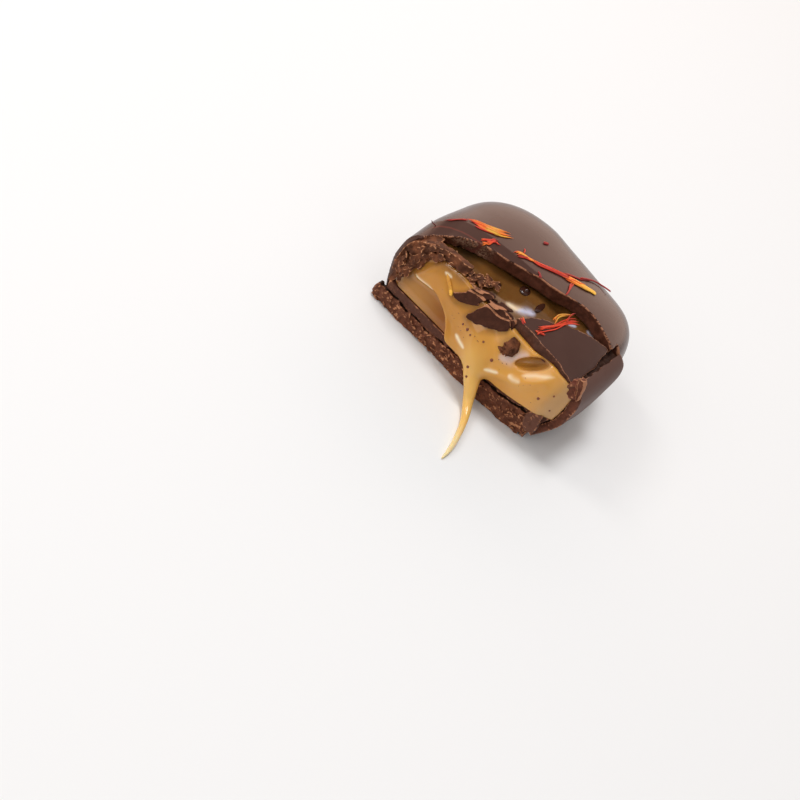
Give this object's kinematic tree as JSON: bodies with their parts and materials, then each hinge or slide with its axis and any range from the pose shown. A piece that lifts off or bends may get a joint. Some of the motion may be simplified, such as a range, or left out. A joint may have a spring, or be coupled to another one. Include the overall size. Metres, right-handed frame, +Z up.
{
  "type": "cut chocolate caramel candy",
  "caption": "Half of a chocolate-coated soft caramel on a crumbly chocolate base, cut across and cracked open on top, with a drawn-out caramel strand and dried petal threads.",
  "frame": {"origin": "middle of the flat face that the candy rests on", "axes": "+Z up; +X to the right along the cut; +Y to the uncut rear end, so the cut faces -Y"},
  "size_m": [0.0346, 0.0414, 0.0158],
  "materials": {
    "shell": "satin tempered dark chocolate",
    "crumb": "matt broken chocolate with pale flecks",
    "caramel": "glossy soft caramel"
  },
  "bodies": {
    "root": {"shell_body": "shell", "shell_side_panel": "shell", "top_plate": "shell", "top_chip_left": "shell", "top_chip_right": "shell", "base": "crumb", "base_chip": "crumb", "caramel": "caramel"}
  },
  "joints": []
}
